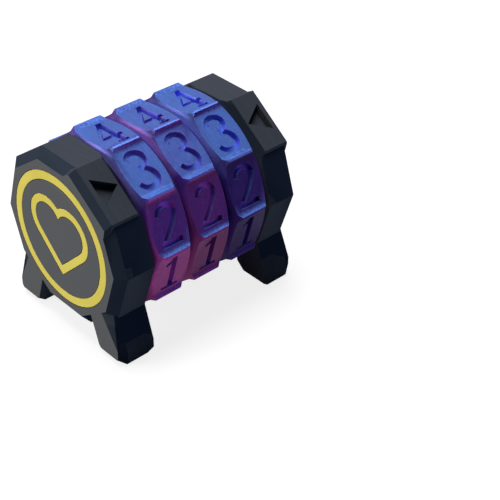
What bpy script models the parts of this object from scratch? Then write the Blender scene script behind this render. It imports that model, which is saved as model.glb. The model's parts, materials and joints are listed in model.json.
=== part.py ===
"""A life counter: three ten-sided number rings that click round on a fixed core between two footed end caps."""

import math

import bmesh
import bpy
from mathutils import Vector
from mathutils.geometry import delaunay_2d_cdt

MM = 0.001
TURN = math.tau

# The barrel is ten-sided, and it lies along X. Angles run from the arrow side (-Y) up and over the top.
SIDES = 10
FACET_STEP = TURN / SIDES
HALF_STEP = FACET_STEP / 2
ARROW_ANGLE = math.radians(54)

# Room left between printed pieces.
TURNING_GAP = 0.3 * MM
SLIDE_GAP = 0.15 * MM
INLAY_GAP = 0.12 * MM

# Number rings: pitch along the barrel, flats, and the grip ridge on every corner.
RING_PITCH = 13.4 * MM
RING_WIDTH = RING_PITCH - TURNING_GAP
RING_FLAT_R = 24.3 * MM
RING_WALL = 6.4 * MM
RIDGE_RISE = 0.75 * MM
RIDGE_TOP_R = RING_FLAT_R / math.cos(HALF_STEP) + RIDGE_RISE
RIDGE_FLANK_ANGLE = math.radians(54)
RIDGE_CREST_WIDTH = 0.6 * MM
RIDGE_CREST_LENGTH = 8.4 * MM
SHOULDER_DROP = 1.1 * MM
RING_SIDE_R = RING_FLAT_R - SHOULDER_DROP
RING_LEAN = math.radians(3)
RING_COUNT = 3
DIGIT_AT_ARROW = 3

# Engraved numbers.
DIGIT_HEIGHT = 12.0 * MM
DIGIT_WIDTH = 7.2 * MM
DIGIT_DEPTH = 1.6 * MM
CUT_OVERRUN = 0.6 * MM

# End caps: a bevelled ten-sided block.
CAP_WIDTH = 11.0 * MM
CAP_CORNER_R = 25.4 * MM
CAP_END_CORNER_R = 22.5 * MM
CAP_BEVEL = 2.3 * MM
CAP_INNER_X = RING_COUNT * RING_PITCH / 2 + TURNING_GAP / 2
HALF_LENGTH = CAP_INNER_X + CAP_WIDTH

# Arrow pad on each cap, with its triangle pointing at the numbers.
PAD_TOP_R = 24.5 * MM
PAD_END_R = 22.3 * MM
PAD_BEVEL = 1.5 * MM
PAD_HALF_WIDTH = 8.4 * MM
PAD_SPREAD = 1.0 * MM
PAD_SIDE_DROP = 2.4 * MM
PAD_ROOT_R = 16.0 * MM
PAD_SETBACK = 0.3 * MM
ARROW_BASE_INSET = 2.85 * MM
ARROW_TIP_INSET = 9.2 * MM
ARROW_HALF_BASE = 4.05 * MM
ARROW_LIFT = 0.45 * MM
ARROW_DEPTH = 2.2 * MM

# Feet: two on each cap, splayed outwards. Y is measured out from the middle, Z down from the axis.
# In the photo the back feet stand a little closer in than the front ones.
SOLE_DROP = 29.2 * MM
SOLE_IN_Y = 15.0 * MM
SOLE_OUT_Y = 23.1 * MM
HEEL_ROUND = 0.8 * MM
FOOT_BAND_DROP = 24.8 * MM
FOOT_BAND_Y = 23.7 * MM
BACK_FOOT_PULL = 1.3 * MM
FOOT_SHOULDER_Y = 18.3 * MM
FOOT_SHOULDER_DROP = 8.0 * MM
FOOT_IN_Y = 11.7 * MM
FOOT_IN_DROP = 19.0 * MM
FOOT_ROOT_Y = 9.6 * MM
FOOT_ROOT_DROP = 12.6 * MM
FOOT_END_RISE = 1.8 * MM
FOOT_END_TOP_Y = 16.7 * MM
FOOT_END_TOP_DROP = 15.4 * MM
FOOT_END_ROOT_Y = 13.0 * MM
FOOT_END_ROOT_DROP = 10.0 * MM
FOOT_END_LOW_Y = 22.3 * MM
FOOT_END_LOW_DROP = 24.2 * MM
FOOT_INNER_BEVEL = 1.9 * MM
FOOT_INNER_RISE = 1.6 * MM
FOOT_INNER_Y = 12.4 * MM
FOOT_INNER_DROP = 25.4 * MM

# Yellow inlays, flush with the end faces: a band and a heart outline.
BAND_OUT_R = 19.4 * MM
BAND_IN_R = 16.9 * MM
INLAY_DEPTH = 0.8 * MM
HEART_LOBE_R = 7.6 * MM
HEART_LOBE_Y = 4.7 * MM
HEART_TIP_DROP = 15.0 * MM
HEART_LIFT = 3.6 * MM
HEART_STROKE = 2.2 * MM

# Core: a drum that the rings turn on, with six-sided spigots pushed into the caps.
BORE_R = RING_FLAT_R - RING_WALL
DRUM_R = BORE_R - TURNING_GAP
SPIGOT_CORNER_R = 12.0 * MM
SPIGOT_LENGTH = 6.0 * MM
SOCKET_DEPTH = SPIGOT_LENGTH + TURNING_GAP
CORE_BORE_R = 7.5 * MM

# Click leaves: one springy strip for each ring, with a nose that drops into the ring's grooves.
GROOVE_R = 2.0 * MM
GROOVE_CENTRE_INSET = 0.9 * MM
GROOVE_CENTRE_R = BORE_R - GROOVE_CENTRE_INSET
NOSE_R = 1.5 * MM
LEAF_SINK = 0.5 * MM
LEAF_TOP_R = DRUM_R - LEAF_SINK
LEAF_THICKNESS = 1.2 * MM
LEAF_WIDTH = 6.0 * MM
LEAF_TIP_ANGLE = math.radians(-8)
LEAF_ARM_ANGLE = math.radians(56.5)
LEAF_ROOT_ANGLE = math.radians(57)
LEAF_END_ANGLE = math.radians(65)
LEAF_ROOT_DROP = 3.9 * MM
LEAF_ROOT_R = LEAF_TOP_R - LEAF_ROOT_DROP
LEAF_FLEX_ROOM = 1.6 * MM
POCKET_EDGE = math.radians(1)
NOSE_ANGLE = 3 * FACET_STEP + RING_LEAN

# The axis height puts the soles on the ground.
AXIS_Z = SOLE_DROP

# The strokes of each number, as shares of its width and height, each with its thickness as a share of the height.
# A stroke that ends in None closes on itself. The 9 is the 6 turned round.
DIGIT_STROKE_SHARES = {
    0: [[(0.50, 0.94, 0.11), (0.80, 0.83, 0.14), (0.89, 0.50, 0.16), (0.80, 0.17, 0.14),
         (0.50, 0.06, 0.11), (0.20, 0.17, 0.14), (0.11, 0.50, 0.16), (0.20, 0.83, 0.14), None]],
    1: [[(0.54, 0.02, 0.15), (0.54, 0.98, 0.15)],
        [(0.56, 0.92, 0.12), (0.18, 0.79, 0.08)],
        [(0.14, 0.04, 0.08), (0.92, 0.04, 0.08)]],
    2: [[(0.10, 0.72, 0.11), (0.22, 0.87, 0.12), (0.50, 0.93, 0.13), (0.78, 0.85, 0.15),
         (0.83, 0.69, 0.16), (0.66, 0.47, 0.14), (0.38, 0.27, 0.12), (0.10, 0.08, 0.11)],
        [(0.02, 0.065, 0.13), (0.96, 0.065, 0.13)]],
    3: [[(0.08, 0.78, 0.12), (0.22, 0.89, 0.13), (0.46, 0.93, 0.13), (0.74, 0.85, 0.15),
         (0.78, 0.72, 0.15), (0.64, 0.60, 0.12), (0.40, 0.545, 0.10)],
        [(0.40, 0.545, 0.10), (0.70, 0.47, 0.13), (0.86, 0.29, 0.16), (0.74, 0.12, 0.15),
         (0.46, 0.065, 0.13), (0.20, 0.11, 0.13), (0.06, 0.22, 0.12)]],
    4: [[(0.68, 0.95, 0.10), (0.07, 0.33, 0.10)],
        [(0.02, 0.32, 0.11), (0.97, 0.32, 0.11)],
        [(0.69, 0.99, 0.15), (0.69, 0.02, 0.15)],
        [(0.46, 0.04, 0.08), (0.92, 0.04, 0.08)]],
    5: [[(0.16, 0.93, 0.13), (0.90, 0.93, 0.13)],
        [(0.22, 0.96, 0.12), (0.16, 0.52, 0.10)],
        [(0.14, 0.52, 0.10), (0.46, 0.60, 0.12), (0.76, 0.52, 0.14), (0.86, 0.31, 0.16),
         (0.74, 0.12, 0.15), (0.46, 0.065, 0.13), (0.20, 0.11, 0.13), (0.06, 0.22, 0.12)]],
    6: [[(0.88, 0.80, 0.11), (0.72, 0.91, 0.12), (0.46, 0.91, 0.13), (0.20, 0.70, 0.15),
         (0.13, 0.36, 0.16), (0.26, 0.13, 0.14), (0.52, 0.065, 0.12), (0.78, 0.14, 0.14),
         (0.86, 0.32, 0.15), (0.76, 0.49, 0.13), (0.52, 0.55, 0.10), (0.20, 0.42, 0.10)]],
    7: [[(0.04, 0.93, 0.13), (0.96, 0.93, 0.13)],
        [(0.90, 0.92, 0.10), (0.64, 0.56, 0.12), (0.48, 0.26, 0.14), (0.42, 0.01, 0.16)]],
    8: [[(0.50, 0.94, 0.11), (0.76, 0.86, 0.13), (0.76, 0.65, 0.13), (0.50, 0.54, 0.10),
         (0.24, 0.65, 0.13), (0.24, 0.86, 0.13), None],
        [(0.50, 0.54, 0.10), (0.83, 0.41, 0.13), (0.84, 0.16, 0.14), (0.50, 0.06, 0.12),
         (0.16, 0.16, 0.14), (0.17, 0.41, 0.13), None]],
}
STROKE_STEPS = 3

# Number of flat faces used for round shapes.
DRUM_SIDES = 60
BAND_SIDES = 60
CONE_SIDES = 120
ARC_STEPS = 10
HEART_STEPS = 18


def start_scene():
    for old in list(bpy.data.objects):
        bpy.data.objects.remove(old)
    product = bpy.data.collections.new("life_counter")
    bpy.context.scene.collection.children.link(product)
    helpers = bpy.data.collections.new("cutters")
    bpy.context.scene.collection.children.link(helpers)
    return product, helpers


product, helpers = start_scene()


def plastic(name, colour, roughness):
    material = bpy.data.materials.new(name)
    material.use_nodes = True
    shader = material.node_tree.nodes["Principled BSDF"]
    shader.inputs["Base Color"].default_value = (*colour, 1)
    shader.inputs["Roughness"].default_value = roughness
    return material


def finish(name, shape, collection, origin=(0, 0, 0)):
    """Makes the object, with its faces turned outwards and its origin where it turns or stands."""
    bmesh.ops.recalc_face_normals(shape, faces=shape.faces)
    bmesh.ops.translate(shape, verts=shape.verts, vec=-Vector(origin))
    mesh = bpy.data.meshes.new(name)
    shape.to_mesh(mesh)
    shape.free()
    item = bpy.data.objects.new(name, mesh)
    item.location = origin
    collection.objects.link(item)
    return item


def piece(name, shape, material, origin=(0, 0, 0)):
    item = finish(name, shape, product, origin)
    item.data.materials.append(material)
    return item


def helper(name, shape, origin=(0, 0, 0)):
    item = finish(name, shape, helpers, origin)
    item.hide_render = True
    item.display_type = "WIRE"
    return item


def combine(item, other, operation):
    step = item.modifiers.new(f"{operation.lower()} {other.name}", "BOOLEAN")
    step.operation = operation
    step.solver = "EXACT"
    step.object = other


def around(x, radius, angle):
    """The point at this distance from the barrel's axis."""
    return Vector((x, -radius * math.cos(angle), AXIS_Z + radius * math.sin(angle)))


def on_facet(x, out, along, angle):
    """The point this far out from the axis and this far up the facet that faces this angle."""
    normal = Vector((0, -math.cos(angle), math.sin(angle)))
    upwards = Vector((0, math.sin(angle), math.cos(angle)))
    return Vector((x, 0, AXIS_Z)) + out * normal + along * upwards


def loft(sections, shape=None):
    """A closed solid through outlines with the same number of points."""
    shape = shape or bmesh.new()
    rows = [[shape.verts.new(point) for point in section] for section in sections]
    count = len(rows[0])
    for low, high in zip(rows[:-1], rows[1:]):
        for i in range(count):
            j = (i + 1) % count
            shape.faces.new((low[i], low[j], high[j], high[i]))
    shape.faces.new(rows[0])
    shape.faces.new(rows[-1])
    return shape


def tube(outer, inner, x_values):
    """A closed band between two outlines of (y, z) with the same number of points."""
    shape = bmesh.new()
    loops = [[[shape.verts.new((x, y, z)) for y, z in line] for line in (outer, inner)] for x in x_values]
    count = len(outer)
    for i in range(count):
        j = (i + 1) % count
        (low_out, low_in), (high_out, high_in) = loops
        shape.faces.new((low_out[i], low_out[j], high_out[j], high_out[i]))
        shape.faces.new((low_in[j], low_in[i], high_in[i], high_in[j]))
        shape.faces.new((low_out[j], low_out[i], low_in[i], low_in[j]))
        shape.faces.new((high_out[i], high_out[j], high_in[j], high_in[i]))
    return shape


def hull(points):
    shape = bmesh.new()
    for point in points:
        shape.verts.new(point)
    result = bmesh.ops.convex_hull(shape, input=shape.verts)
    spare = [item for item in result["geom_interior"] + result["geom_unused"] if isinstance(item, bmesh.types.BMVert)]
    bmesh.ops.delete(shape, geom=list(set(spare)), context="VERTS")
    return shape


def circle(radius, sides, turn=0.0):
    return [(-radius * math.cos(turn + TURN * i / sides), AXIS_Z + radius * math.sin(turn + TURN * i / sides))
            for i in range(sides)]


def prism(outline, low_x, high_x):
    return loft([[(x, y, z) for y, z in outline] for x in (low_x, high_x)])


# Materials

cap_plastic = plastic("cap_plastic", (0.055, 0.058, 0.068), 0.75)
inlay_plastic = plastic("inlay_plastic", (0.75, 0.62, 0.15), 0.6)
ring_plastic = plastic("ring_plastic", (0.12, 0.14, 0.55), 0.35)
core_plastic = plastic("core_plastic", (0.055, 0.058, 0.068), 0.75)
leaf_plastic = plastic("leaf_plastic", (0.30, 0.31, 0.33), 0.6)


# End caps

def heart(grow):
    """The heart outline's outer and inner lines, each moved away from the stroke by this much."""
    lines = []
    for lobe, lift in ((HEART_LOBE_R + grow, -grow), (HEART_LOBE_R - HEART_STROKE - grow, HEART_STROKE + grow)):
        reach = math.hypot(HEART_LOBE_Y, HEART_TIP_DROP)
        lean = math.atan2(HEART_TIP_DROP, HEART_LOBE_Y) - math.asin(HEART_LOBE_R / reach)
        tip = -HEART_TIP_DROP + lift / math.cos(lean)
        first = lean - TURN / 4
        last = TURN / 2 - math.acos(HEART_LOBE_Y / lobe)
        right = [(HEART_LOBE_Y + lobe * math.cos(first + (last - first) * i / HEART_STEPS),
                  lobe * math.sin(first + (last - first) * i / HEART_STEPS)) for i in range(HEART_STEPS + 1)]
        left = [(-y, z) for y, z in right[-2::-1]]
        lines.append([(y, z + AXIS_Z + HEART_LIFT) for y, z in [(0, tip), *right, *left]])
    return lines


def foot_outline(part, side):
    """One foot's outline at the end face, at the sole or at the inner face, on the front (-1) or back (1) side."""
    low = [(FOOT_IN_Y, FOOT_IN_DROP)]
    if part == "end":
        floor = SOLE_DROP - FOOT_END_RISE
        high = [(FOOT_END_ROOT_Y, FOOT_END_ROOT_DROP), (FOOT_END_TOP_Y, FOOT_END_TOP_DROP)]
        low += [(FOOT_END_LOW_Y, FOOT_END_LOW_DROP), (FOOT_END_LOW_Y, floor - HEEL_ROUND),
                (FOOT_END_LOW_Y - FOOT_BAND_Y + SOLE_OUT_Y, floor), (SOLE_IN_Y, floor),
                (SOLE_IN_Y - HEEL_ROUND, floor - HEEL_ROUND)]
    else:
        high = [(FOOT_SHOULDER_Y, FOOT_SHOULDER_DROP),
                (CAP_CORNER_R * math.cos(FACET_STEP), CAP_CORNER_R * math.sin(FACET_STEP))]
        low.append((FOOT_BAND_Y, FOOT_BAND_DROP))
        if part == "sole":
            low += [(FOOT_BAND_Y, SOLE_DROP - HEEL_ROUND), (SOLE_OUT_Y, SOLE_DROP), (SOLE_IN_Y, SOLE_DROP),
                    (SOLE_IN_Y - HEEL_ROUND, SOLE_DROP - HEEL_ROUND)]
        else:
            floor = SOLE_DROP - FOOT_INNER_RISE
            low += [(FOOT_BAND_Y, floor), (SOLE_IN_Y, floor), (FOOT_INNER_Y, FOOT_INNER_DROP)]
    high.append((FOOT_ROOT_Y, FOOT_ROOT_DROP))
    pull = BACK_FOOT_PULL if side > 0 else 0
    return [(side * y, AXIS_Z - drop) for y, drop in high] + [(side * (y - pull), AXIS_Z - drop) for y, drop in low]


def end_cap(name, side):
    """One cap on the left (-1) or right (+1): ten-sided block, arrow pad, two feet, inlay pockets, core socket."""

    def inset(depth):
        return side * (HALF_LENGTH - depth)

    corners = [FACET_STEP * i for i in range(SIDES)]
    block = loft([[around(inset(depth), radius, angle) for angle in corners] for depth, radius in (
        (0, CAP_END_CORNER_R), (CAP_BEVEL, CAP_CORNER_R), (CAP_WIDTH, CAP_CORNER_R))])
    cap = piece(name, block, cap_plastic)

    pad_points = []
    for depth, top in ((0, PAD_END_R), (PAD_BEVEL, PAD_TOP_R), (CAP_WIDTH - PAD_SETBACK, PAD_TOP_R)):
        for way in (-1, 1):
            pad_points += [
                on_facet(inset(depth), top, way * PAD_HALF_WIDTH, ARROW_ANGLE),
                on_facet(inset(depth), top - PAD_SIDE_DROP, way * (PAD_HALF_WIDTH + PAD_SPREAD), ARROW_ANGLE),
                on_facet(inset(depth), PAD_ROOT_R, way * PAD_HALF_WIDTH, ARROW_ANGLE),
            ]
    combine(cap, helper(f"{name}_pad", hull(pad_points)), "UNION")
    slope = (PAD_TOP_R - PAD_END_R) / PAD_BEVEL
    wedge = [(CAP_WIDTH - PAD_BEVEL - CUT_OVERRUN, PAD_TOP_R + slope * CUT_OVERRUN),
             (CAP_WIDTH + CUT_OVERRUN, PAD_TOP_R + slope * CUT_OVERRUN),
             (CAP_WIDTH + CUT_OVERRUN, PAD_END_R - slope * CUT_OVERRUN)]
    reach = 2 * PAD_HALF_WIDTH
    bevel = loft([[on_facet(inset(depth), out, along, ARROW_ANGLE) for depth, out in wedge]
                  for along in (-reach, reach)])
    combine(cap, helper(f"{name}_pad_bevel", bevel), "DIFFERENCE")

    for way, place in ((-1, "front"), (1, "back")):
        foot = []
        for depth, part in ((0, "end"), (CAP_BEVEL, "sole"), (CAP_WIDTH - FOOT_INNER_BEVEL, "sole"),
                            (CAP_WIDTH, "inner")):
            foot += [(inset(depth), y, z) for y, z in foot_outline(part, way)]
        combine(cap, helper(f"{name}_{place}_foot", hull(foot)), "UNION")

    triangle = [(ARROW_BASE_INSET, -ARROW_HALF_BASE), (ARROW_TIP_INSET, 0), (ARROW_BASE_INSET, ARROW_HALF_BASE)]
    arrow = loft([[on_facet(inset(depth), out, ARROW_LIFT + along, ARROW_ANGLE) for depth, along in triangle]
                  for out in (PAD_TOP_R - ARROW_DEPTH, PAD_TOP_R + CUT_OVERRUN)])
    combine(cap, helper(f"{name}_arrow", arrow), "DIFFERENCE")

    pocket = sorted((inset(INLAY_DEPTH), inset(-CUT_OVERRUN)))
    groove = tube(circle(BAND_OUT_R + INLAY_GAP, BAND_SIDES), circle(BAND_IN_R - INLAY_GAP, BAND_SIDES), pocket)
    combine(cap, helper(f"{name}_band_groove", groove), "DIFFERENCE")
    combine(cap, helper(f"{name}_heart_pocket", tube(*heart(INLAY_GAP), pocket)), "DIFFERENCE")

    socket_x = sorted((inset(CAP_WIDTH - SOCKET_DEPTH), inset(CAP_WIDTH + CUT_OVERRUN)))
    socket = prism(circle(SPIGOT_CORNER_R + SLIDE_GAP / math.cos(TURN / 12), 6), *socket_x)
    combine(cap, helper(f"{name}_socket", socket), "DIFFERENCE")

    face = sorted((inset(INLAY_DEPTH), inset(0)))
    label = name.split("_")[0]
    piece(f"{label}_band_inlay", tube(circle(BAND_OUT_R, BAND_SIDES), circle(BAND_IN_R, BAND_SIDES), face),
          inlay_plastic)
    piece(f"{label}_heart_inlay", tube(*heart(0), face), inlay_plastic)


end_cap("left_cap", -1)
end_cap("right_cap", 1)


# Number rings

def ring_outline():
    """The ring seen along its axis: flats, with a grip ridge on every corner."""
    crest = RIDGE_CREST_WIDTH / 2
    cos_half = math.cos(HALF_STEP)
    sin_half = math.sin(HALF_STEP)
    fall = math.sin(RIDGE_FLANK_ANGLE)
    spread = math.cos(RIDGE_FLANK_ANGLE)
    run = (RIDGE_TOP_R * cos_half + crest * sin_half - RING_FLAT_R) / (fall * cos_half - spread * sin_half)
    foot_r = RIDGE_TOP_R - run * fall
    foot_out = crest + run * spread
    points = []
    for i in range(SIDES):
        angle = FACET_STEP * i + RING_LEAN
        for radius, along in ((foot_r, -foot_out), (RIDGE_TOP_R, -crest), (RIDGE_TOP_R, crest), (foot_r, foot_out)):
            point = on_facet(0, radius, along, angle)
            points.append((point.y, point.z))
    return points


def bore_outline():
    """The bore, with a click groove under every corner."""
    meet = (BORE_R**2 + GROOVE_CENTRE_R**2 - GROOVE_R**2) / (2 * BORE_R * GROOVE_CENTRE_R)
    edge = math.acos(meet)
    side = math.atan2(BORE_R * math.sin(edge), BORE_R * math.cos(edge) - GROOVE_CENTRE_R)
    points = []
    for i in range(SIDES):
        angle = FACET_STEP * i + RING_LEAN
        for share in (-1, -0.6, -0.2, 0.2, 0.6, 1):
            point = on_facet(0, GROOVE_CENTRE_R + GROOVE_R * math.cos(side * share),
                             GROOVE_R * math.sin(side * share), angle)
            points.append((point.y, point.z))
        for share in (0.25, 0.5, 0.75):
            turn = angle + edge + (FACET_STEP - 2 * edge) * share
            points.append((-BORE_R * math.cos(turn), AXIS_Z + BORE_R * math.sin(turn)))
    return points


def smooth(points, closed):
    """More points along a curve through these ones."""
    if len(points) == 2:
        return points
    count = len(points)
    out = []
    for i in range(count if closed else count - 1):
        if closed:
            a, b, c, d = (points[(i + k) % count] for k in (-1, 0, 1, 2))
        else:
            b, c = points[i], points[i + 1]
            a = points[i - 1] if i else b
            d = points[i + 2] if i + 2 < count else c
        for k in range(STROKE_STEPS):
            t = k / STROKE_STEPS
            out.append(tuple(
                0.5 * (2 * q + (r - p) * t + (2 * p - 5 * q + 4 * r - s) * t * t + (3 * q - p - 3 * r + s) * t**3)
                for p, q, r, s in zip(a, b, c, d)))
    if not closed:
        out.append(points[-1])
    return out


def stroke(shares):
    """The flat corners of one pen stroke, as triangles, from its shares of the number's width and height."""
    closed = shares[-1] is None
    points = shares[:-1] if closed else shares
    path = smooth([(u * DIGIT_WIDTH, v * DIGIT_HEIGHT, w * DIGIT_HEIGHT) for u, v, w in points], closed)
    count = len(path)
    left = []
    right = []
    for i, (u, v, width) in enumerate(path):
        before = path[(i - 1) % count] if closed or i else path[i]
        after = path[(i + 1) % count] if closed or i + 1 < count else path[i]
        way = Vector((after[0] - before[0], after[1] - before[1])).normalized()
        side = Vector((-way.y, way.x)) * width / 2
        left.append(Vector((u, v)) + side)
        right.append(Vector((u, v)) - side)
    flat = []
    for i in range(count if closed else count - 1):
        j = (i + 1) % count
        flat += [(left[i], right[i], right[j]), (left[i], right[j], left[j])]
    return flat


def number_outline(digit):
    """One number as flat faces: its strokes joined into one shape."""
    flat = [face for shares in DIGIT_STROKE_SHARES[digit] for face in stroke(shares)]
    points = []
    faces = []
    for face in flat:
        if sum(p.cross(q) for p, q in zip(face, (*face[1:], face[0]))) < 0:
            face = face[::-1]
        faces.append(list(range(len(points), len(points) + len(face))))
        points += [point / MM for point in face]
    places, _, triangles, _, _, covered_by = delaunay_2d_cdt(points, [], faces, 0, 0.001, True)
    shape = bmesh.new()
    rows = [shape.verts.new((point.x * MM, point.y * MM, 0)) for point in places]
    for triangle, strokes in zip(triangles, covered_by):
        if strokes:
            shape.faces.new([rows[i] for i in triangle])
    bmesh.ops.delete(shape, geom=[vert for vert in shape.verts if not vert.link_faces], context="VERTS")
    bmesh.ops.dissolve_limit(shape, angle_limit=0.02, verts=shape.verts, edges=shape.edges)
    return shape


def numbers():
    """One cutter with all ten numbers, each centred on its own facet."""
    shape = bmesh.new()
    for digit in range(SIDES):
        angle = ARROW_ANGLE + (digit - DIGIT_AT_ARROW) * FACET_STEP + RING_LEAN
        turned = -1 if digit == 9 else 1
        flat = number_outline(6 if digit == 9 else digit)
        levels = []
        for out in (RING_FLAT_R - DIGIT_DEPTH, RING_FLAT_R + CUT_OVERRUN):
            levels.append({vert: shape.verts.new(on_facet(
                turned * (vert.co.x - DIGIT_WIDTH / 2), out, turned * (vert.co.y - DIGIT_HEIGHT / 2), angle))
                for vert in flat.verts})
        low, high = levels
        for face in flat.faces:
            shape.faces.new([low[vert] for vert in face.verts])
            shape.faces.new([high[vert] for vert in reversed(face.verts)])
        for edge in flat.edges:
            if edge.is_boundary:
                a, b = edge.verts
                shape.faces.new((low[a], low[b], high[b], high[a]))
        flat.free()
    return shape


def number_ring(name, x):
    axis = (x, 0, AXIS_Z)
    half = RING_WIDTH / 2
    ring = piece(name, prism(ring_outline(), x - half, x + half), ring_plastic, axis)
    slope = (RIDGE_TOP_R - RING_SIDE_R) / (half - RIDGE_CREST_LENGTH / 2)
    peak = RIDGE_TOP_R + TURNING_GAP
    lathe = [(half + CUT_OVERRUN, RING_SIDE_R - slope * CUT_OVERRUN),
             (RIDGE_CREST_LENGTH / 2 - TURNING_GAP / slope, peak)]
    lathe += [(-along, radius) for along, radius in lathe[::-1]]
    cones = loft([[around(x + along, radius, TURN * (i + 0.5) / CONE_SIDES) for i in range(CONE_SIDES)]
                  for along, radius in lathe])
    combine(ring, helper(f"{name}_shoulders", cones, axis), "INTERSECT")
    bore = prism(bore_outline(), x - half - CUT_OVERRUN, x + half + CUT_OVERRUN)
    combine(ring, helper(f"{name}_bore", bore, axis), "DIFFERENCE")
    cutter = numbers()
    bmesh.ops.translate(cutter, verts=cutter.verts, vec=(x, 0, 0))
    combine(ring, helper(f"{name}_numbers", cutter, axis), "DIFFERENCE")


RINGS = (("left_ring", -RING_PITCH), ("middle_ring", 0.0), ("right_ring", RING_PITCH))
for ring_name, ring_x in RINGS:
    number_ring(ring_name, ring_x)


# Core

def leaf_pocket(x):
    """Room for one click leaf: a shallow curved pocket that the arm bends into, and a deep slot for its root."""
    edge = LEAF_WIDTH / 2 + SLIDE_GAP
    floor = LEAF_TOP_R - LEAF_THICKNESS - LEAF_FLEX_ROOM
    roof = DRUM_R + CUT_OVERRUN
    start = NOSE_ANGLE + LEAF_TIP_ANGLE - 2 * POCKET_EDGE
    slot = NOSE_ANGLE + LEAF_ROOT_ANGLE - POCKET_EDGE
    end = NOSE_ANGLE + LEAF_END_ANGLE + POCKET_EDGE
    arc = [start + (end - start) * i / ARC_STEPS for i in range(ARC_STEPS + 1)]
    points = [(roof, angle) for angle in arc]
    points += [(LEAF_ROOT_R, end), (LEAF_ROOT_R, slot)]
    points += [(floor, slot + (start - slot) * i / ARC_STEPS) for i in range(ARC_STEPS + 1)]
    outline = [(-radius * math.cos(angle), AXIS_Z + radius * math.sin(angle)) for radius, angle in points]
    return prism(outline, x - edge, x + edge)


core = piece("core", prism(circle(DRUM_R, DRUM_SIDES), -CAP_INNER_X, CAP_INNER_X), core_plastic)
spigot_end = CAP_INNER_X + SPIGOT_LENGTH
combine(core, helper("core_spigots", prism(circle(SPIGOT_CORNER_R, 6), -spigot_end, spigot_end)), "UNION")
hollow = prism(circle(CORE_BORE_R, DRUM_SIDES // 2), -spigot_end - CUT_OVERRUN, spigot_end + CUT_OVERRUN)
combine(core, helper("core_hollow", hollow), "DIFFERENCE")
for ring_name, ring_x in RINGS:
    label = ring_name.split("_")[0]
    combine(core, helper(f"core_{label}_pocket", leaf_pocket(ring_x)), "DIFFERENCE")


# Click leaves

def click_leaf(name, x):
    """A curved strip on edge: its root sits in the core's slot and its nose reaches into a groove of the ring."""
    low = LEAF_TOP_R - LEAF_THICKNESS
    nose_edge = 2 * math.asin(NOSE_R / (2 * LEAF_TOP_R))
    points = [(LEAF_TOP_R, LEAF_TIP_ANGLE)]
    for i in range(7):
        turn = math.pi * (i / 6 - 0.5)
        out = LEAF_TOP_R + NOSE_R * math.cos(turn)
        along = NOSE_R * math.sin(turn)
        points.append((math.hypot(out, along), math.atan2(along, out)))
    arc = [nose_edge + (LEAF_END_ANGLE - nose_edge) * i / ARC_STEPS for i in range(1, ARC_STEPS + 1)]
    points += [(LEAF_TOP_R, angle) for angle in arc]
    points += [(LEAF_ROOT_R, LEAF_END_ANGLE), (LEAF_ROOT_R, LEAF_ROOT_ANGLE)]
    points += [(low, LEAF_ARM_ANGLE + (LEAF_TIP_ANGLE - LEAF_ARM_ANGLE) * i / ARC_STEPS)
               for i in range(ARC_STEPS + 1)]
    outline = [(-radius * math.cos(NOSE_ANGLE + angle), AXIS_Z + radius * math.sin(NOSE_ANGLE + angle))
               for radius, angle in points]
    piece(name, prism(outline, x - LEAF_WIDTH / 2, x + LEAF_WIDTH / 2), leaf_plastic)


for ring_name, ring_x in RINGS:
    click_leaf(f"{ring_name.split('_')[0]}_click_leaf", ring_x)
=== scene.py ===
# A printed life counter: three number rings that click round side by side between two footed end caps.

import json
import math

import bmesh
import bpy
from mathutils import Euler, Matrix, Vector


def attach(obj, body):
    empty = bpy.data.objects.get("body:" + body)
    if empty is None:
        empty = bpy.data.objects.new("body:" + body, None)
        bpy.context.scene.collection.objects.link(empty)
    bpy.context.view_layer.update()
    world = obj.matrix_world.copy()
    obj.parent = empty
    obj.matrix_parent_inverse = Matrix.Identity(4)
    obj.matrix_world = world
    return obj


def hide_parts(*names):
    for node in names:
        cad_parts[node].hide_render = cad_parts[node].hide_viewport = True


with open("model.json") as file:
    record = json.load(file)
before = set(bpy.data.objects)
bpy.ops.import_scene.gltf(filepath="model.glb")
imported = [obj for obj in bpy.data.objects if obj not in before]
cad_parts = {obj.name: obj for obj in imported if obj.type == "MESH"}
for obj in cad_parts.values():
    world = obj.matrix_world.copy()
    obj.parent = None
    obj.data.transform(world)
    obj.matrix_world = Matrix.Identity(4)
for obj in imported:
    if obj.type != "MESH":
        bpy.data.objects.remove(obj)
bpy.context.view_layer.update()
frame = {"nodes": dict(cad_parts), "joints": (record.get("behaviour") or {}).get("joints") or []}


# Camera. It stands where the photograph was taken from, found from the counter's own corners.
# The lens is a long one, and the counter sits left of the middle, as in the photograph.

lens_mm = 88.24
sensor_mm = 36
camera_place = (-0.173705, -0.219761, 0.21591)
camera_tilt = math.radians(90 - 36.277)
camera_turn = math.radians(-43.818)
camera_roll = math.radians(1.175)

camera_lens = bpy.data.cameras.new("camera")
camera_lens.sensor_width = sensor_mm
camera_lens.lens = lens_mm
camera = bpy.data.objects.new("camera", camera_lens)
facing = Euler((camera_tilt, 0, camera_turn)).to_matrix() @ Matrix.Rotation(camera_roll, 3, "Z")
camera.matrix_world = Matrix.Translation(camera_place) @ facing.to_4x4()
bpy.context.scene.collection.objects.link(camera)
bpy.context.scene.camera = camera
bpy.context.scene.view_settings.view_transform = "Standard"


# Table and room. A plain white table, which keeps the counter's soft shadow, in a room that the camera and
# the reflections see as white. The light that the room and the table throw back on the counter is dim.

white = (1, 1, 1, 1)
room_light = (0.5, 0.75, 1, 1)
room_strength = 0.035
table_tone_for_bounces = (0.28, 0.34, 0.46, 1)
table_tone_as_seen = (0.26, 0.26, 0.27, 1)
table_glow = 0.82
table_reach = 3
lamps_look_at = Vector((0, 0, 0.03))


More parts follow.
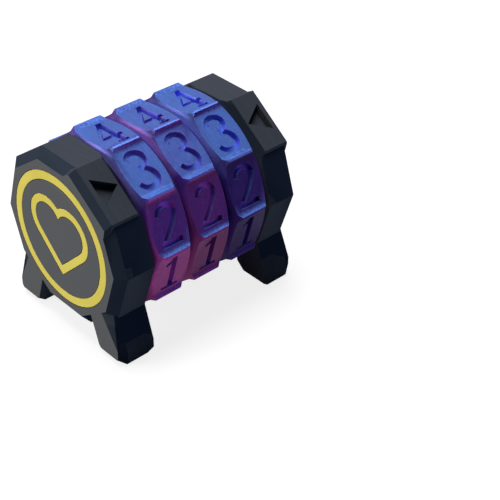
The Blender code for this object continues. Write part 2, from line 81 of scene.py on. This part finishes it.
def place(tree, kind, inputs=None, **settings):
    """One shader node, with its settings and with what goes into it."""
    item = tree.nodes.new("ShaderNode" + kind)
    for name, value in settings.items():
        setattr(item, name, value)
    for name, value in (inputs or {}).items():
        if isinstance(value, bpy.types.NodeSocket):
            tree.links.new(value, item.inputs[name])
        else:
            item.inputs[name].default_value = value
    return item


def maths(tree, operation, *values, clamp=False):
    """The result of one sum."""
    return place(tree, "Math", dict(enumerate(values)), operation=operation, use_clamp=clamp).outputs[0]


def seen_straight(tree):
    """1 where the camera or a reflection looks, 0 for light that bounces."""
    path = place(tree, "LightPath").outputs
    seen = maths(tree, "MAXIMUM", path["Is Camera Ray"], path["Is Glossy Ray"])
    return maths(tree, "MAXIMUM", seen, path["Is Transmission Ray"])


room = bpy.data.worlds.new("room")
room.use_nodes = True
tree = room.node_tree
tree.nodes.clear()
dim = place(tree, "Background", {"Color": room_light, "Strength": room_strength})
plain = place(tree, "Background", {"Color": white, "Strength": 1})
mix = place(tree, "MixShader", {0: seen_straight(tree), 1: dim.outputs[0], 2: plain.outputs[0]})
place(tree, "OutputWorld", {"Surface": mix.outputs[0]})
bpy.context.scene.world = room

paper = bpy.data.materials.new("white_table")
paper.use_nodes = True
tree = paper.node_tree
tree.nodes.clear()
dull = place(tree, "BsdfDiffuse", {"Color": table_tone_for_bounces})
matt = place(tree, "BsdfDiffuse", {"Color": table_tone_as_seen})
glow = place(tree, "Emission", {"Color": white, "Strength": table_glow})
lit = place(tree, "AddShader", {0: matt.outputs[0], 1: glow.outputs[0]})
mix = place(tree, "MixShader", {0: seen_straight(tree), 1: dull.outputs[0], 2: lit.outputs[0]})
place(tree, "OutputMaterial", {"Surface": mix.outputs[0]})

sheet = bpy.data.meshes.new("table")
corners = [(x * table_reach, y * table_reach, 0) for x, y in ((-1, -1), (1, -1), (1, 1), (-1, 1))]
sheet.from_pydata(corners, [], [(0, 1, 2, 3)])
sheet.materials.append(paper)
table = bpy.data.objects.new("table", sheet)
bpy.context.scene.collection.objects.link(table)


def softbox(name, stands_at, size, watts, colour):
    """A soft lamp that looks at the counter."""
    lamp = bpy.data.lights.new(name, "AREA")
    lamp.shape = "SQUARE"
    lamp.size = size
    lamp.energy = watts
    lamp.color = colour
    item = bpy.data.objects.new(name, lamp)
    item.location = stands_at
    item.rotation_euler = (Vector(stands_at) - lamps_look_at).to_track_quat("Z", "Y").to_euler()
    bpy.context.scene.collection.objects.link(item)


softbox("window_side", stands_at=(-0.72, 0.44, 0.2), size=0.34, watts=6, colour=(1, 0.99, 0.97))
softbox("overhead", stands_at=(0.02, 0.15, 0.83), size=0.5, watts=7.2, colour=(1, 0.99, 0.98))


# End caps. Each is one piece of matt black printed plastic: a ten-sided block with an arrow pad and two
# feet. It is printed on its end face, so the layers stack up along the barrel, and its corners come out
# slightly soft. It pushes onto the core's spigot.

cap_corner_round = 0.00035
cap_roughness = 0.75
cap_relief = 0.000008
cap_black_low = (0.050, 0.057, 0.074)
cap_black_high = (0.056, 0.063, 0.081)
# Painted shade: the facets that tilt a little upwards are darker and bluer.
steep_painted_shade_black = (0.026, 0.034, 0.066)
# Painted reflection of the table: the facets that face downwards are paler.
hanging_painted_reflection_black = (0.092, 0.098, 0.114)
# Painted shade: the bevels, which face partly along the barrel, are darker.
slope_painted_shade_black = (0.024, 0.032, 0.046)
# Painted shade: the bevels low on the feet are darker still.
foot_slope_painted_shade_black = (0.008, 0.014, 0.027)
# Painted sheen: the end face, which lay on the print bed, is paler.
bed_face_painted_sheen_black = (0.110, 0.110, 0.110)

same_point = 0.000001
same_plane = math.radians(0.5)
corner_angle = math.radians(20)


def eased_copy(node, body, width, material, corner_highlight_material=None):
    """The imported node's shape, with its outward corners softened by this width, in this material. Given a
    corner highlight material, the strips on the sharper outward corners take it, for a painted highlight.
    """
    shape = bmesh.new()
    shape.from_mesh(frame["nodes"][node].data)
    bmesh.ops.remove_doubles(shape, verts=shape.verts, dist=same_point)
    bmesh.ops.dissolve_limit(shape, angle_limit=same_plane, verts=shape.verts, edges=shape.edges)
    soft = shape.edges.layers.float.new("bevel_weight_edge")
    for edge in shape.edges:
        outward = len(edge.link_faces) == 2 and edge.is_convex
        edge[soft] = 1 if outward and edge.calc_face_angle(0) > corner_angle else 0
    mesh = bpy.data.meshes.new(f"{node}_print")
    shape.to_mesh(mesh)
    shape.free()
    mesh.materials.clear()
    mesh.materials.append(material)
    mesh.materials.append(corner_highlight_material or material)
    item = bpy.data.objects.new(f"{node}_print", mesh)
    bpy.context.scene.collection.objects.link(item)
    ease = item.modifiers.new("soft corners", "BEVEL")
    ease.width = width
    ease.segments = 2
    ease.limit_method = "WEIGHT" if corner_highlight_material else "ANGLE"
    ease.angle_limit = corner_angle
    ease.material = 1 if corner_highlight_material else -1
    ease.harden_normals = True
    ease.use_clamp_overlap = True
    mesh.shade_smooth()
    mesh.set_sharp_from_angle(angle=corner_angle)
    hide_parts(node)
    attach(item, body)


def new_group(name, inputs, outputs):
    """An empty node group, with the sockets that its inputs come from and that its outputs go to."""
    tree = bpy.data.node_groups.new(name, "ShaderNodeTree")
    for label, kind, value in inputs:
        socket = tree.interface.new_socket(name=label, in_out="INPUT", socket_type=kind)
        socket.default_value = value
    for label, kind in outputs:
        tree.interface.new_socket(name=label, in_out="OUTPUT", socket_type=kind)
    return tree, tree.nodes.new("NodeGroupInput").outputs, tree.nodes.new("NodeGroupOutput").inputs


def vector_maths(tree, operation, *values):
    """The result of one sum on vectors: a number for a length or a dot product, and otherwise a vector."""
    item = place(tree, "VectorMath", dict(enumerate(values)), operation=operation)
    return item.outputs["Value" if operation in ("LENGTH", "DOT_PRODUCT") else "Vector"]


def graded(tree, value, start, end, at_start=0, at_end=1):
    """at_start up to where the value reaches start, at_end from where it reaches end, and even between."""
    limits = {"From Min": start, "From Max": end, "To Min": at_start, "To Max": at_end}
    return place(tree, "MapRange", {"Value": value, **limits}).outputs[0]


def noise(tree, point, scale, detail, roughness=0.5):
    """Soft random spots, which run from about noise_low to noise_high."""
    look = {"Vector": point, "Scale": scale, "Detail": detail, "Roughness": roughness}
    return place(tree, "TexNoise", look).outputs[0]


def spread(tree, spots, low, high):
    """The values of a noise, spread from low to high."""
    return graded(tree, spots, noise_low, noise_high, at_start=low, at_end=high)


# Printed layers: fine beads that run round the barrel, uneven from layer to layer, with some grain on top.
# The masks pick out faces by the way that they face, and the feet by their height, for the painted shade,
# reflection and sheen on the caps.
layer_height = 0.0002
bead_share = 0.3
uneven_stretch = (3800, 70, 70)
streak_stretch = (1300, 60, 60)
grain_scale = 4200
plain_grain = 0.4
noise_low = 0.3
noise_high = 0.7
foot_top = 0.0125
foot_blend = 0.001
steep_up = 0.3
steep_leeway = 0.12

layers, given, result = new_group(
    "print_layers",
    [("Layer", "NodeSocketFloat", layer_height), ("Grain", "NodeSocketFloat", plain_grain)],
    [(label, "NodeSocketFloat")
     for label in ("Height", "Streak", "Bed Face", "Slope", "Hanging", "Steep", "Foot Slope")])
surface = place(layers, "TexCoord").outputs
spot = place(layers, "SeparateXYZ", {0: surface["Object"]}).outputs
faces = place(layers, "SeparateXYZ", {0: surface["Normal"]}).outputs

turns = maths(layers, "MULTIPLY", maths(layers, "DIVIDE", spot["X"], given["Layer"]), math.tau)
bead = maths(layers, "MULTIPLY", maths(layers, "SINE", turns), bead_share)
uneven = vector_maths(layers, "MULTIPLY", surface["Object"], uneven_stretch)
uneven = noise(layers, uneven, scale=1, detail=2)
grain = noise(layers, surface["Object"], grain_scale, detail=3, roughness=0.6)
grain = maths(layers, "MULTIPLY", grain, given["Grain"])
height = maths(layers, "ADD", maths(layers, "ADD", bead, uneven), grain)
streak = vector_maths(layers, "MULTIPLY", surface["Object"], streak_stretch)
streak = noise(layers, streak, scale=1, detail=3)

endways = maths(layers, "ABSOLUTE", faces["X"])
slope = graded(layers, endways, start=0.3, end=0.6)
foot = graded(layers, spot["Z"], start=foot_top, end=foot_top - foot_blend)
layers.links.new(height, result["Height"])
layers.links.new(streak, result["Streak"])
layers.links.new(graded(layers, endways, start=0.9, end=0.985), result["Bed Face"])
layers.links.new(slope, result["Slope"])
layers.links.new(graded(layers, faces["Z"], start=-0.1, end=-0.25), result["Hanging"])
layers.links.new(maths(layers, "COMPARE", faces["Z"], steep_up, steep_leeway), result["Steep"])
layers.links.new(maths(layers, "MULTIPLY", slope, foot), result["Foot Slope"])


def layered_material(name, values, relief, grain=plain_grain):
    """A plastic with printed layers in relief: its material, tree, shader sockets and the layers' masks."""
    material = bpy.data.materials.new(name)
    material.use_nodes = True
    tree = material.node_tree
    shader = tree.nodes["Principled BSDF"].inputs
    for label, value in values.items():
        shader[label].default_value = value
    masks = place(tree, "Group", {"Grain": grain}, node_tree=layers).outputs
    bump = place(tree, "Bump", {"Height": masks["Height"], "Distance": relief, "Strength": 1})
    tree.links.new(bump.outputs[0], shader["Normal"])
    return material, tree, shader, masks


def tone_at(tree, value, stops):
    """The tone at this value, between the tones of the stops, which run from low to high."""
    shade = place(tree, "ValToRGB", {0: value})
    ramp = shade.color_ramp
    for end, (position, tone) in ((0, stops[0]), (1, stops[-1])):
        ramp.elements[end].position = position
        ramp.elements[end].color = (*tone, 1)
    for position, tone in stops[1:-1]:
        ramp.elements.new(position).color = (*tone, 1)
    return shade.outputs[0]


def tone_where(tree, below, mask, tone):
    """The tone below, changed to this one where the mask is 1."""
    over = tone if isinstance(tone, bpy.types.NodeSocket) else (*tone, 1)
    return place(tree, "Mix", {"Factor": mask, 6: below, 7: over}, data_type="RGBA").outputs[2]


def printed_plastic(name, low, high, roughness, shine, relief, facets=()):
    """Plain printed plastic, a little uneven from layer to layer, with painted shade and light as other tones
    on some facets.
    """
    values = {"Roughness": roughness, "Specular IOR Level": shine}
    material, tree, shader, masks = layered_material(name, values, relief)
    tone = tone_at(tree, masks["Streak"], ((noise_low, low), (noise_high, high)))
    for mask, facet_tone in facets:
        tone = tone_where(tree, tone, masks[mask], facet_tone)
    tree.links.new(tone, shader["Base Color"])
    return material


# The caps' black has painted shade, a painted reflection and a painted sheen on some of its facets, picked
# out by the masks.
cap_black = printed_plastic(
    "cap_black", cap_black_low, cap_black_high, cap_roughness, shine=0, relief=cap_relief,
    facets=(("Steep", steep_painted_shade_black), ("Hanging", hanging_painted_reflection_black), ("Slope", slope_painted_shade_black),
            ("Foot Slope", foot_slope_painted_shade_black), ("Bed Face", bed_face_painted_sheen_black)))
for cap in ("left_cap", "right_cap"):
    eased_copy(cap, "base", cap_corner_round, cap_black)


# Inlays in the end faces: a band and a heart outline in each, of matt yellow plastic. They are printed in
# shallow pockets together with the cap, and lie flush with the black face.

inlay_corner_round = 0.00012
inlay_yellow = printed_plastic("inlay_yellow", low=(0.69, 0.56, 0.085), high=(0.76, 0.62, 0.110),
                               roughness=0.6, shine=0.1, relief=0.000010)
for inlay in ("left_band_inlay", "right_band_inlay", "left_heart_inlay", "right_heart_inlay"):
    eased_copy(inlay, "base", inlay_corner_round, inlay_yellow)


# Number rings. Each turns on the core and is printed in a silky strand, blue along one side and magenta
# along the other, so a wall shows the colour of the side that it faces. The colours turn with the ring. Its
# corners have ridges for the finger, and its numbers are sunk into the flats.

ring_corner_round = 0.00014
ring_relief = 0.00002
ring_grain = 0.8
silk = {"Metallic": 0.5, "Roughness": 0.42, "Specular IOR Level": 0}
streak_low = 0.94
streak_high = 1.06
# Painted glints: fine brighter and darker specks over the strand.
glint_low = 0.86
glint_high = 1.16

flat_radius = 0.0243
ridge_foot_radius = 0.0252
crest_start_radius = 0.0256
crest_radius = 0.0259
floor_start_drop = 0.0003
floor_drop = 0.0006
blue_side_angle = 75
blue_way = (0, -math.cos(math.radians(blue_side_angle)), math.sin(math.radians(blue_side_angle)))

strand_tones = (
    (0, (0.42, 0.07, 0.26)),
    (0.35, (0.38, 0.06, 0.25)),
    (0.5, (0.26, 0.040, 0.20)),
    (0.66, (0.15, 0.025, 0.18)),
    (0.80, (0.058, 0.018, 0.17)),
    (0.90, (0.055, 0.064, 0.29)),
    (0.96, (0.064, 0.114, 0.39)),
    (1, (0.058, 0.120, 0.40)))
deep_violet = (0.018, 0.010, 0.095)
blue_wall_tone = (0.085, 0.095, 0.33)
magenta_wall_tone = (0.045, 0.030, 0.21)

lean_of_right_faces = 0.10
lean_of_shoulders = -0.07
lean_of_walls = 0.2
lean_wander = 0.03
lilac_share = 0.65
lilac_loss_at_tips = 0.6
blue_wall_share = 0.55
magenta_wall_share = 0.5

# Painted light: the numbers' floors are brighter where they lie in shade, most where the strand turns violet
# and least on the magenta side.
blue_floor_painted_light = 0.35
violet_floor_painted_light = 1.9
magenta_floor_painted_light_share = 0.1
# Painted light: the shoulders are brighter.
shoulder_painted_light = 0.12
# Painted highlight: the ridges' crests are brighter.
crest_painted_highlight = 0.4
# Painted light: the numbers' walls are brighter where they lie in shade, more on the blue side and more again
# on the violet rings.
wall_painted_light = 0.1
blue_wall_painted_light = 0.8
violet_wall_painted_light = 1.8
magenta_wall_painted_light = 1.3
# Painted shade: the shoulders' tips on the blue side are darker.
tip_painted_shade = -0.8
# Painted shade: the ridges' flanks are darker.
flank_painted_shade = -0.12
# Painted glints: the specks are stronger on the ridges' flanks.
flank_glint_gain = 2

strand, given, result = new_group(
    "two_colour_strand",
    [("Blue Side", "NodeSocketFloat", blue_side_angle),
     ("Blue Reach", "NodeSocketFloat", 0),
     ("Violet", "NodeSocketFloat", 0),
     ("Underside", "NodeSocketFloat", 1),
     ("Shoulder Tone", "NodeSocketColor", (0.13, 0.11, 0.30, 1)),
     ("Ring Middle", "NodeSocketVector", (0, 0, 0))],
    [("Color", "NodeSocketColor"), ("Painted Light", "NodeSocketFloat")])
surface = place(strand, "TexCoord").outputs
faces = place(strand, "SeparateXYZ", {0: surface["Normal"]}).outputs


def times(*values):
    """The product of these values or masks, in the strand's group."""
    product = values[0]
    for value in values[1:]:
        product = maths(strand, "MULTIPLY", product, value)
    return product


def raised(base, mask, amount):
    """The base value, raised by this amount where the mask is 1, in the strand's group."""
    return maths(strand, "MULTIPLY_ADD", mask, amount, base)


# Where a point lies. The shoulders face partly along the barrel, and a wall faces across a spoke of the
# ring, as the walls of the numbers do.
side_on = maths(strand, "ABSOLUTE", faces["X"])
shoulder = graded(strand, side_on, start=0.2, end=0.45)
facing_out = graded(strand, side_on, start=0.2, end=0.1)
spoke = vector_maths(strand, "SUBTRACT", surface["Object"], given["Ring Middle"])
spoke = vector_maths(strand, "MULTIPLY", spoke, (0, 1, 1))
radius = vector_maths(strand, "LENGTH", spoke)
spoke = vector_maths(strand, "NORMALIZE", spoke)
upright = vector_maths(strand, "DOT_PRODUCT", spoke, surface["Normal"])
wall = graded(strand, upright, start=0.55, end=0.3)
toward_blue = vector_maths(strand, "DOT_PRODUCT", spoke, blue_way)
blue_wall = times(wall, graded(strand, toward_blue, start=0.65, end=0.85))
magenta_wall = times(wall, graded(strand, toward_blue, start=0.45, end=0.15))

# How much of the strand's blue side a point shows, from magenta at 0 to blue at 1.
angle = maths(strand, "ARCTAN2", faces["Z"], maths(strand, "MULTIPLY", faces["Y"], -1))
away = maths(strand, "SUBTRACT", angle, maths(strand, "RADIANS", given["Blue Side"]))
wander = noise(strand, surface["Object"], scale=420, detail=3)
wander = spread(strand, wander, -lean_wander, lean_wander)
blueness = maths(strand, "ADD", maths(strand, "COSINE", away), wander)
blueness = maths(strand, "ADD", blueness, given["Blue Reach"])
blueness = raised(blueness, faces["X"], lean_of_right_faces)
blueness = raised(blueness, shoulder, lean_of_shoulders)
blueness = raised(blueness, wall, lean_of_walls)
share = graded(strand, blueness, start=-1, end=1)
top_side = graded(strand, share, start=0.80, end=0.90)
tip = times(graded(strand, radius, start=flat_radius, end=ridge_foot_radius), shoulder, top_side)

# The colour: more violet away from the bluest side, a lilac on the upper shoulders, less of it at their tips,
# and tones of their own on the walls.
tone = tone_at(strand, share, strand_tones)
violet = times(graded(strand, share, start=0.93, end=0.78), given["Violet"])
tone = tone_where(strand, tone, violet, deep_violet)
lilac = times(shoulder, top_side, lilac_share, raised(1, tip, -lilac_loss_at_tips))
tone = tone_where(strand, tone, lilac, given["Shoulder Tone"])
tone = tone_where(strand, tone, times(blue_wall, blue_wall_share), blue_wall_tone)
tone = tone_where(strand, tone, times(magenta_wall, magenta_wall_share), magenta_wall_tone)
strand.links.new(tone, result["Color"])

# Painted light and shade on the strand: painted light on the numbers' floors and walls and on the shoulders,
# a painted highlight on the ridges' crests, painted shade at the shoulders' tips and on the ridges' flanks, a
# darker underside, partly painted shade, and painted glints as specks.
sunk = graded(strand, radius, start=flat_radius - floor_start_drop, end=flat_radius - floor_drop)
floor = times(sunk, facing_out,
              graded(strand, share, start=0.95, end=0.82, at_start=blue_floor_painted_light, at_end=violet_floor_painted_light),
              graded(strand, share, start=0.7, end=0.55, at_start=1, at_end=magenta_floor_painted_light_share))
crest = graded(strand, radius, start=crest_start_radius, end=crest_radius)
flank = times(graded(strand, upright, start=0.93, end=0.85), facing_out)
flank = maths(strand, "SUBTRACT", flank, wall, clamp=True)
bright = maths(strand, "ADD", floor, 1)
bright = raised(bright, shoulder, shoulder_painted_light)
bright = raised(bright, crest, crest_painted_highlight)
bright = raised(bright, wall, wall_painted_light)
bright = raised(bright, blue_wall, raised(blue_wall_painted_light, given["Violet"], violet_wall_painted_light))
bright = raised(bright, magenta_wall, magenta_wall_painted_light)
bright = raised(bright, tip, tip_painted_shade)
bright = raised(bright, flank, flank_painted_shade)
# Partly painted shade: the underside, on the strand's magenta side, is darker where Underside is below 1.
bright = times(bright, graded(strand, share, start=0.75, end=0.6, at_start=1, at_end=given["Underside"]))
glints = noise(strand, surface["Object"], scale=1900, detail=2, roughness=0.7)
glints = spread(strand, glints, glint_low, glint_high)
glints = raised(glints, times(maths(strand, "SUBTRACT", glints, 1), flank), flank_glint_gain)
strand.links.new(times(bright, glints), result["Painted Light"])


def silky_strand(name, look, highlight_lift):
    """Silky two-colour plastic with this look and with painted light and shade, brightened by the highlight
    lift, which is above 1 for the painted highlight on the corner strips.
    """
    material, tree, shader, masks = layered_material(name, silk, ring_relief, ring_grain)
    two_tone = place(tree, "Group", look, node_tree=strand).outputs
    streaks_and_painted_light = spread(tree, masks["Streak"], streak_low * highlight_lift, streak_high * highlight_lift)
    streaks_and_painted_light = maths(tree, "MULTIPLY", streaks_and_painted_light, two_tone["Painted Light"])
    tree.links.new(vector_maths(tree, "MULTIPLY", two_tone["Color"], streaks_and_painted_light), shader["Base Color"])
    return material


# How each ring's strand lies: the angle of its blue side, how far the blue reaches, how violet its lower side
# is, and the tone of its upper shoulders; and the brightness of its underside, which is partly the strand's
# own tone and partly painted shade.
ring_looks = {
    "left_ring": {"Blue Side": blue_side_angle, "Blue Reach": 0, "Violet": 0,
                  "Underside": 1, "Shoulder Tone": (0.12, 0.10, 0.31, 1)},
    "middle_ring": {"Blue Side": blue_side_angle + 4, "Blue Reach": -0.04, "Violet": 0.3,
                    "Underside": 0.62, "Shoulder Tone": (0.20, 0.085, 0.29, 1)},
    "right_ring": {"Blue Side": blue_side_angle, "Blue Reach": 0.03, "Violet": 0.95,
                   "Underside": 0.7, "Shoulder Tone": (0.085, 0.10, 0.32, 1)},
}
# Painted highlight: the strips on the rings' sharper outward corners are bluer, less violet and brighter.
corner_highlight_blue_reach = 0.08
corner_highlight_violet_share = 0.5
corner_highlight_lift = 2.2
for ring, look in ring_looks.items():
    hinge = next(joint for joint in frame["joints"] if joint["name"] == f"{ring}_turn")
    look = {**look, "Ring Middle": hinge["pos_m"]}
    corner_highlight_look = {**look, "Blue Reach": look["Blue Reach"] + corner_highlight_blue_reach,
                   "Violet": look["Violet"] * corner_highlight_violet_share}
    finish = silky_strand(f"{ring}_strand", look, highlight_lift=1)
    corner_highlight_finish = silky_strand(f"{ring}_corners", corner_highlight_look, corner_highlight_lift)
    eased_copy(ring, hinge["child"], ring_corner_round, finish, corner_highlight_finish)


# Core. A drum of black printed plastic that the rings turn on. A six-sided spigot at each end pushes into a
# cap and keeps the two arrows in line. Only a line of it shows.

def dress(node, material):
    """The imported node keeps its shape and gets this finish."""
    mesh = frame["nodes"][node].data
    mesh.materials.clear()
    mesh.materials.append(material)


core_black = printed_plastic("core_black", low=(0.040, 0.042, 0.047), high=(0.055, 0.057, 0.063),
                             roughness=0.7, shine=0.15, relief=0.00002)
dress("core", core_black)


# Click leaves. Springy strips of grey printed plastic, each fixed in a pocket of the core. The nose on each
# drops into the grooves in its ring's bore, and so holds the ring at each number.

leaf_grey = printed_plastic("leaf_grey", low=(0.26, 0.27, 0.29), high=(0.33, 0.34, 0.36),
                            roughness=0.6, shine=0.3, relief=0.00002)
for leaf in ("left_click_leaf", "middle_click_leaf", "right_click_leaf"):
    dress(leaf, leaf_grey)
